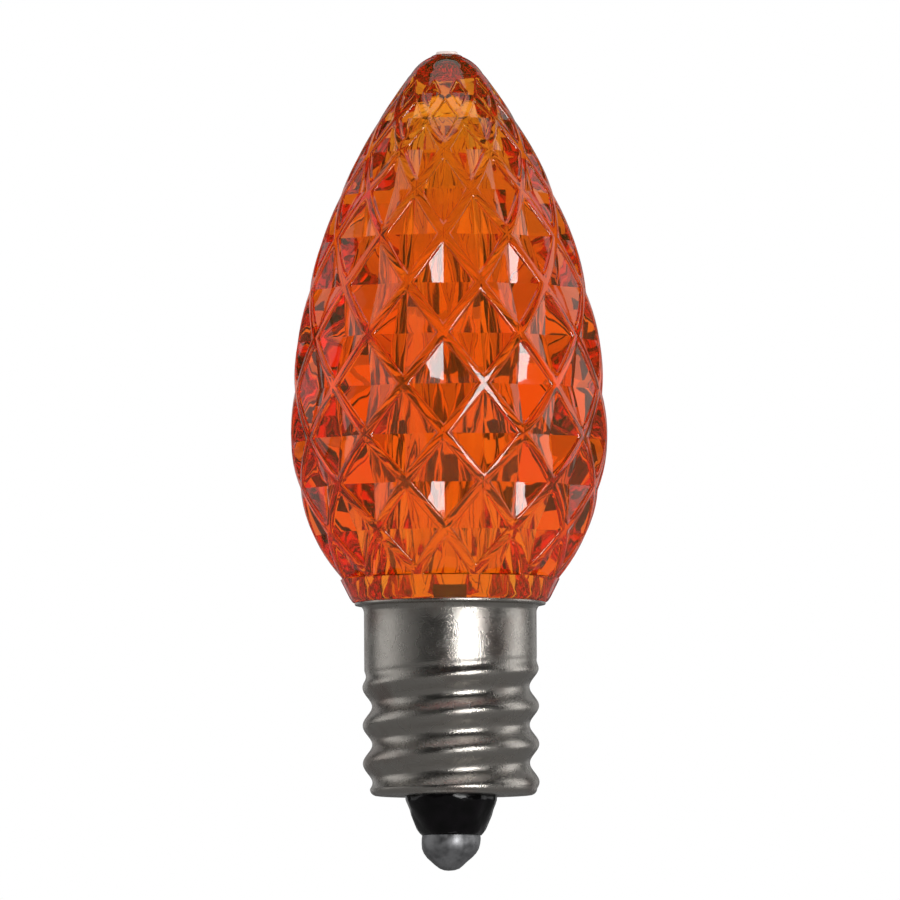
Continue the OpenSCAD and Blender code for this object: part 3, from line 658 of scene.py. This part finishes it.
def thread_tree():
    """Geometry Nodes tree: turns the section once round the axis and rolls the thread into it."""
    tree = bpy.data.node_groups.new("rolled_thread", "GeometryNodeTree")
    tree.interface.new_socket("Section", in_out="INPUT", socket_type="NodeSocketGeometry")
    tree.interface.new_socket("Steps", in_out="INPUT", socket_type="NodeSocketInt")
    for name in ("Middle Radius", "Swing", "Pitch", "Start", "Collar Radius", "Thread End", "Fade"):
        tree.interface.new_socket(name, in_out="INPUT", socket_type="NodeSocketFloat")
    tree.interface.new_socket("Material", in_out="INPUT", socket_type="NodeSocketMaterial")
    tree.interface.new_socket("Shell", in_out="OUTPUT", socket_type="NodeSocketGeometry")
    given = add(tree, "NodeGroupInput").outputs

    # The section swept once round a circle, each point knowing its step
    section = add(tree, "GeometryNodeMeshToCurve", given["Section"])
    path = add(tree, "GeometryNodeCurvePrimitiveCircle", sockets={"Resolution": given["Steps"]})
    index = add(tree, "GeometryNodeInputIndex")
    numbered = add(tree, "GeometryNodeStoreNamedAttribute", path, None, "step", index, data_type="FLOAT",
                   domain="POINT")
    swept = add(tree, "GeometryNodeCurveToMesh", numbered, section)
    read = {name: add(tree, "GeometryNodeInputNamedAttribute", name, data_type="FLOAT")
            for name in ("step", "offset", "height", "thread", "sample")}

    # Radius of the rolled thread, a wave that climbs by one pitch in each turn
    angle = add(tree, MATH, read["step"], 2 * math.pi, operation="MULTIPLY")
    bearing = add(tree, MATH, angle, given["Steps"], operation="DIVIDE")
    from_left = add(tree, MATH, bearing, math.pi, operation="SUBTRACT")
    risen = add(tree, MATH, read["sample"], given["Start"], operation="SUBTRACT")
    climb = add(tree, MATH, risen, given["Pitch"], operation="DIVIDE")
    wound = add(tree, MATH, climb, 2 * math.pi, operation="MULTIPLY")
    phase = add(tree, MATH, wound, from_left, operation="SUBTRACT")
    wave = add(tree, MATH, phase, operation="COSINE")
    rolled = add(tree, MATH, wave, given["Swing"], given["Middle Radius"], operation="MULTIPLY_ADD")

    # The thread runs out into the plain collar, higher on the right than on the left
    rightness = add(tree, MATH, 1.0, add(tree, MATH, from_left, operation="COSINE"), operation="SUBTRACT")
    fade_z = add(tree, MATH, rightness, RUN_OUT / 2, given["Thread End"], operation="MULTIPLY_ADD")
    past = add(tree, MATH, read["sample"], fade_z, operation="SUBTRACT")
    share = add(tree, MATH, past, given["Fade"], operation="DIVIDE")
    blend = add(tree, "ShaderNodeMapRange", share, interpolation_type="SMOOTHSTEP")
    thread_share = add(tree, MATH, 1.0, blend, operation="SUBTRACT")
    thread = add(tree, MATH, rolled, thread_share, operation="MULTIPLY")
    collar = add(tree, MATH, given["Collar Radius"], blend, operation="MULTIPLY")
    outside = add(tree, MATH, thread, collar, operation="ADD")
    radius = add(tree, MATH, outside, read["thread"], read["offset"], operation="MULTIPLY_ADD")
    place = round_axis(tree, radius, bearing, read["height"])
    placed = add(tree, "GeometryNodeSetPosition", swept, sockets={"Position": place})
    smooth = add(tree, "GeometryNodeSetShadeSmooth", placed)
    solid = add(tree, "GeometryNodeRealizeInstances", smooth)
    coated = add(tree, "GeometryNodeSetMaterial", solid, sockets={"Material": given["Material"]})
    add(tree, "NodeGroupOutput", coated)
    return tree


def tidy_mesh(mesh, sharp=40):
    """Turns a closed mesh's faces outwards and keeps its corners sharp."""
    bm = bmesh.new()
    bm.from_mesh(mesh)
    bmesh.ops.recalc_face_normals(bm, faces=bm.faces)
    for face in bm.faces:
        face.smooth = True
    for e in bm.edges:
        e.smooth = e.calc_face_angle(0) < math.radians(sharp)
    bm.to_mesh(mesh)
    bm.free()
    return mesh


def shell_mesh(sizes, material):
    """The drawn and rolled shell."""
    mesh = run_tree("threaded_shell", sheet_section(sizes), thread_tree(), {
        "Steps": SHELL_STEPS, "Middle Radius": (sizes.crest_r + sizes.root_r) / 2,
        "Swing": (sizes.crest_r - sizes.root_r) / 2, "Pitch": sizes.pitch, "Start": SHELL_LOW + FIRST_CREST,
        "Collar Radius": sizes.collar_r, "Thread End": SHELL_HIGH - sizes.collar_l - RUN_OUT_H,
        "Fade": THREAD_FADE, "Material": material})
    for name in ("step", "offset", "height", "thread", "sample"):
        if name in mesh.attributes:
            mesh.attributes.remove(mesh.attributes[name])
    return tidy_mesh(mesh)


# Insulator and contact

def turned(name, profile, lumps, tube=False, lean=0.0, steps=96):
    """A turned body through (radius, height) pairs in mm, with lumps of a given height and size in mm. A
    tube's last ring joins its first one, and any other body is closed at both ends. Its lowest point leans
    over in X."""
    low, high = profile[0][1], profile[-1][1]
    bm = bmesh.new()
    rings = []
    for radius, height in profile:
        ring = []
        for i in range(steps):
            a = 2 * math.pi * i / steps
            spot = Vector((radius * math.cos(a), radius * math.sin(a), height))
            swell = noise.noise(spot / lumps[1]) * lumps[0] if radius > POLE_R else 0.0
            outwards = Vector((math.cos(a), math.sin(a), 0.0))
            shift = Vector((lean * (1 - (height - low) / (high - low)) ** 2, 0.0, 0.0))
            ring.append(bm.verts.new((spot + shift + swell * outwards) * MM))
        rings.append(ring)
    follow = rings[1:] + rings[:1] if tube else rings[1:]
    for a, b in zip(rings, follow):
        for i in range(steps):
            j = (i + 1) % steps
            bm.faces.new([a[i], a[j], b[j], b[i]])
    if not tube:
        bm.faces.new(rings[0])
        bm.faces.new(rings[-1])
    mesh = bpy.data.meshes.new(name)
    bm.to_mesh(mesh)
    bm.free()
    return tidy_mesh(mesh, 60)


# Studio

def flag_mesh(name, shares, rims):
    """Cloth between rims given in metres, over each share of the full turn."""
    bm = bmesh.new()
    for start, end in shares:
        steps = max(2, int((end - start) / FLAG_STEP))
        bearings = [math.radians(start + (end - start) * i / steps) for i in range(steps + 1)]
        rows = [[bm.verts.new((r * math.cos(a), r * math.sin(a), z)) for a in bearings] for r, z in rims]
        for upper, lower in zip(rows, rows[1:]):
            for i in range(steps):
                bm.faces.new([upper[i], upper[i + 1], lower[i + 1], lower[i]])
    mesh = bpy.data.meshes.new(name)
    bm.to_mesh(mesh)
    bm.free()
    return mesh


# Operators

class BULB_OT_stage(bpy.types.Operator):
    """Sets the camera, the world, the pale floor, the flags and the lamps"""
    bl_idname = "bulb.stage"
    bl_label = "Stage"

    def execute(self, context):
        scene = context.scene
        scene.view_settings.view_transform = "Standard"
        rise = math.radians(CAMERA_RISE)
        camera = bpy.data.cameras.new("camera")
        camera.sensor_width = SENSOR
        camera.lens = SENSOR * CAMERA_DISTANCE / CAMERA_FIELD
        camera.clip_start = 0.01
        camera.clip_end = 20.0
        eye = bpy.data.objects.new("camera", camera)
        eye_z = CAMERA_AIM + CAMERA_DISTANCE * math.sin(rise)
        eye.location = (CAMERA_SIDE, -CAMERA_DISTANCE * math.cos(rise), eye_z)
        tilt = Matrix.Rotation(math.radians(90.0) - rise, 3, "X")
        eye.rotation_euler = (tilt @ Matrix.Rotation(math.radians(CAMERA_ROLL), 3, "Z")).to_euler()
        scene.collection.objects.link(eye)
        scene.camera = eye

        world = bpy.data.worlds.new("studio")
        world.use_nodes = True
        tree = world.node_tree
        tree.nodes.clear()
        path = add(tree, "ShaderNodeLightPath").outputs
        seen = add(tree, MATH, path["Is Camera Ray"], path["Is Glossy Ray"], operation="MAXIMUM")
        seen = add(tree, MATH, seen, path["Is Transmission Ray"], operation="MAXIMUM")
        strength = add(tree, "ShaderNodeMapRange", seen, 0.0, 1.0, WORLD_LIGHT, 1.0)
        sky = add(tree, "ShaderNodeBackground", (1.0, 1.0, 1.0, 1.0), strength)
        add(tree, "ShaderNodeOutputWorld", sky)
        scene.world = world

        # Seamless studio paper: matt and nearly white
        floor = bpy.data.meshes.new("floor")
        corners = ((-1, -1), (1, -1), (1, 1), (-1, 1))
        places = [(x * FLOOR_HALF, y * FLOOR_HALF, FLOOR_Z) for x, y in corners]
        floor.from_pydata(places, [], [(0, 1, 2, 3)])
        ground = bpy.data.objects.new("floor", floor)
        scene.collection.objects.link(ground)
        floor.materials.append(mottled("pale_paper_floor", ("F2F2F2", "F6F6F6"), (0.7, 0.9), 40.0, 0.01))

        # Wool flag cloth and uncoated card: matt, so that they show as plain dark shapes
        cloths = {name: mottled(name, tones, (0.9, 1.0), 8.0, 0.1) for name, tones in CLOTHS.items()}
        for name, shares, rims, cloth, through in FLAGS:
            mesh = flag_mesh(name, shares, rims)
            mesh.materials.append(cloths[cloth])
            flag = bpy.data.objects.new(name, mesh)
            scene.collection.objects.link(flag)
            flag.visible_camera = False
            flag.visible_diffuse = False
            flag.visible_shadow = False
            flag.visible_transmission = through
            flag.visible_glossy = not through

        for name, turn, z, width, tall, power in LAMPS:
            lamp = bpy.data.lights.new(name, "AREA")
            lamp.shape = "RECTANGLE"
            lamp.size = width
            lamp.size_y = tall
            lamp.energy = power
            holder = bpy.data.objects.new(name, lamp)
            bearing = math.radians(turn - 90)
            holder.location = (LAMP_R * math.cos(bearing), LAMP_R * math.sin(bearing), z)
            inwards = Vector((-math.cos(bearing), -math.sin(bearing), 0))
            holder.rotation_euler = inwards.to_track_quat("-Z", "Y").to_euler()
            holder.visible_transmission = False
            scene.collection.objects.link(holder)
        return {"FINISHED"}


class BULB_OT_lens(bpy.types.Operator):
    """Makes the faceted amber lens and the scar of its gate"""
    bl_idname = "bulb.lens"
    bl_label = "Faceted lens"

    def execute(self, context):
        sizes = context.scene.bulb_lens
        amber = amber_polycarbonate(sizes.amber)
        keep("faceted_lens", lens_mesh(sizes, amber), amber, "amber_plastic", "lens")
        scar = [(radius, LENS_HIGH - under) for radius, under in SCAR]
        # Polycarbonate whitened by stress where the gate was broken off: pale, rough and not clear
        white = mottled("stress_whitened_polycarbonate", ("E6CFC6", "F4E6E0"), (0.5, 0.7), 0.25, 0.02)
        keep("gate_scar", turned("gate_scar", scar, (0.03, 0.3), steps=48), white, "amber_plastic")
        return {"FINISHED"}


class BULB_OT_shell(bpy.types.Operator):
    """Makes the nickel-plated screw shell"""
    bl_idname = "bulb.shell"
    bl_label = "Screw shell"

    def execute(self, context):
        sizes = context.scene.bulb_base
        nickel = nickel_plate(sizes.nickel)
        keep("threaded_shell", shell_mesh(sizes, nickel), nickel, "nickel_plate", "screw_shell")
        return {"FINISHED"}


class BULB_OT_contact(bpy.types.Operator):
    """Makes the black insulator and the solder drop, and gives the eyelet its finish"""
    bl_idname = "bulb.contact"
    bl_label = "Insulator and contact"

    def execute(self, context):
        # Black glass, fused into the shell: deep black with a lumpy, shiny skin. Its IOR is lower than
        # real glass has, because the glints on the real one are weak.
        black = mottled("fused_black_glass", ("020202", "080608"), (0.04, 0.12), 0.9, 0.16, ior=1.33)
        pocket_z = INSULATOR_LOW + POCKET_H
        cone = [(TUBE_R, pocket_z), (POCKET_R, pocket_z), (POCKET_R, INSULATOR_LOW), *CONE,
                (INSULATOR_R - 0.5, CONE[-1][1]), (INSULATOR_R - 0.1, 5.5),
                (INSULATOR_R - 0.06, INSULATOR_HIGH), (TUBE_R, INSULATOR_HIGH)]
        body = turned("glass_insulator", cone, (0.14, 1.3), tube=True)
        keep("glass_insulator", body, black, "black_insulator", "insulator")
        # Lead-free solder, left to cool in air: a dull grey metal skin with soft, uneven glints
        tin = mottled("lead_free_solder", ("8A8A8C", "A6A6A8"), (0.38, 0.6), 0.5, 0.05, metallic=1.0)
        keep("solder_drop", turned("solder_drop", DROP, (0.1, 1.2), lean=-0.2), tin, "solder", "solder_tip")
        # Stamped brass: yellow metal with a soft shine
        brass = mottled("stamped_brass", ("B5924E", "C9A75F"), (0.25, 0.4), 0.8, 0.01, metallic=1.0)
        dress("contact_eyelet", brass)
        return {"FINISHED"}


class BULB_OT_inside(bpy.types.Operator):
    """Gives the board, the diodes and the other inner pieces their finish"""
    bl_idname = "bulb.inside"
    bl_label = "Inner pieces"

    def execute(self, context):
        # White solder mask, printed on the board: smooth, with a low shine
        dress("circuit_board", mottled("white_solder_mask", ("D8D8D0", "E6E6DE"), (0.3, 0.45), 1.5, 0.01))
        # Moulded diode packages: brown and satin, so that they show dark through the amber
        package = mottled("moulded_diode_package", ("5A4020", "6B4C26"), (0.35, 0.5), 0.5, 0.01)
        for node in ("led_right", "led_back", "led_left", "led_front"):
            dress(node, package)
        # Moulded black epoxy: matt, with a fine grain
        epoxy = mottled("moulded_black_epoxy", ("121212", "1C1C1C"), (0.5, 0.65), 0.3, 0.01)
        dress("bridge_rectifier", epoxy)
        dress("chip_resistor", epoxy)
        # Beige lacquer, dipped: smooth and satin
        lacquer = mottled("lacquered_resistor", ("B59B6A", "C4AB7A"), (0.3, 0.4), 0.8, 0.02)
        dress("dropping_resistor", lacquer)
        # Tinned copper wire: pale grey metal with a soft shine
        tinned = mottled("tinned_copper_wire", ("A8A8A6", "BDBDBA"), (0.25, 0.4), 0.4, 0.01, metallic=1.0)
        dress("shell_lead", tinned)
        # Cured silicone: pale and slightly dull
        dress("seal_bead", mottled("cured_silicone", ("C9C2B0", "D8D2C2"), (0.4, 0.55), 0.6, 0.02))
        return {"FINISHED"}


class BULB_PT_panel(bpy.types.Panel):
    """Lists the bulb's pieces"""
    bl_idname = "BULB_PT_panel"
    bl_label = "Faceted bulb"
    bl_space_type = "VIEW_3D"
    bl_region_type = "UI"
    bl_category = "Bulb"

    def draw(self, context):
        for operator in OPERATORS:
            self.layout.operator(operator.bl_idname)


OPERATORS = (BULB_OT_stage, BULB_OT_lens, BULB_OT_shell, BULB_OT_contact, BULB_OT_inside)
CLASSES = (LensSizes, BaseSizes, *OPERATORS, BULB_PT_panel)


def register():
    for item in CLASSES:
        bpy.utils.register_class(item)
    bpy.types.Scene.bulb_lens = bpy.props.PointerProperty(type=LensSizes)
    bpy.types.Scene.bulb_base = bpy.props.PointerProperty(type=BaseSizes)


def unregister():
    del bpy.types.Scene.bulb_base
    del bpy.types.Scene.bulb_lens
    for item in reversed(CLASSES):
        bpy.utils.unregister_class(item)


def main():
    register()
    bpy.ops.bulb.stage()
    bpy.ops.bulb.lens()
    bpy.ops.bulb.shell()
    bpy.ops.bulb.contact()
    bpy.ops.bulb.inside()


if __name__ == "__main__":
    main()
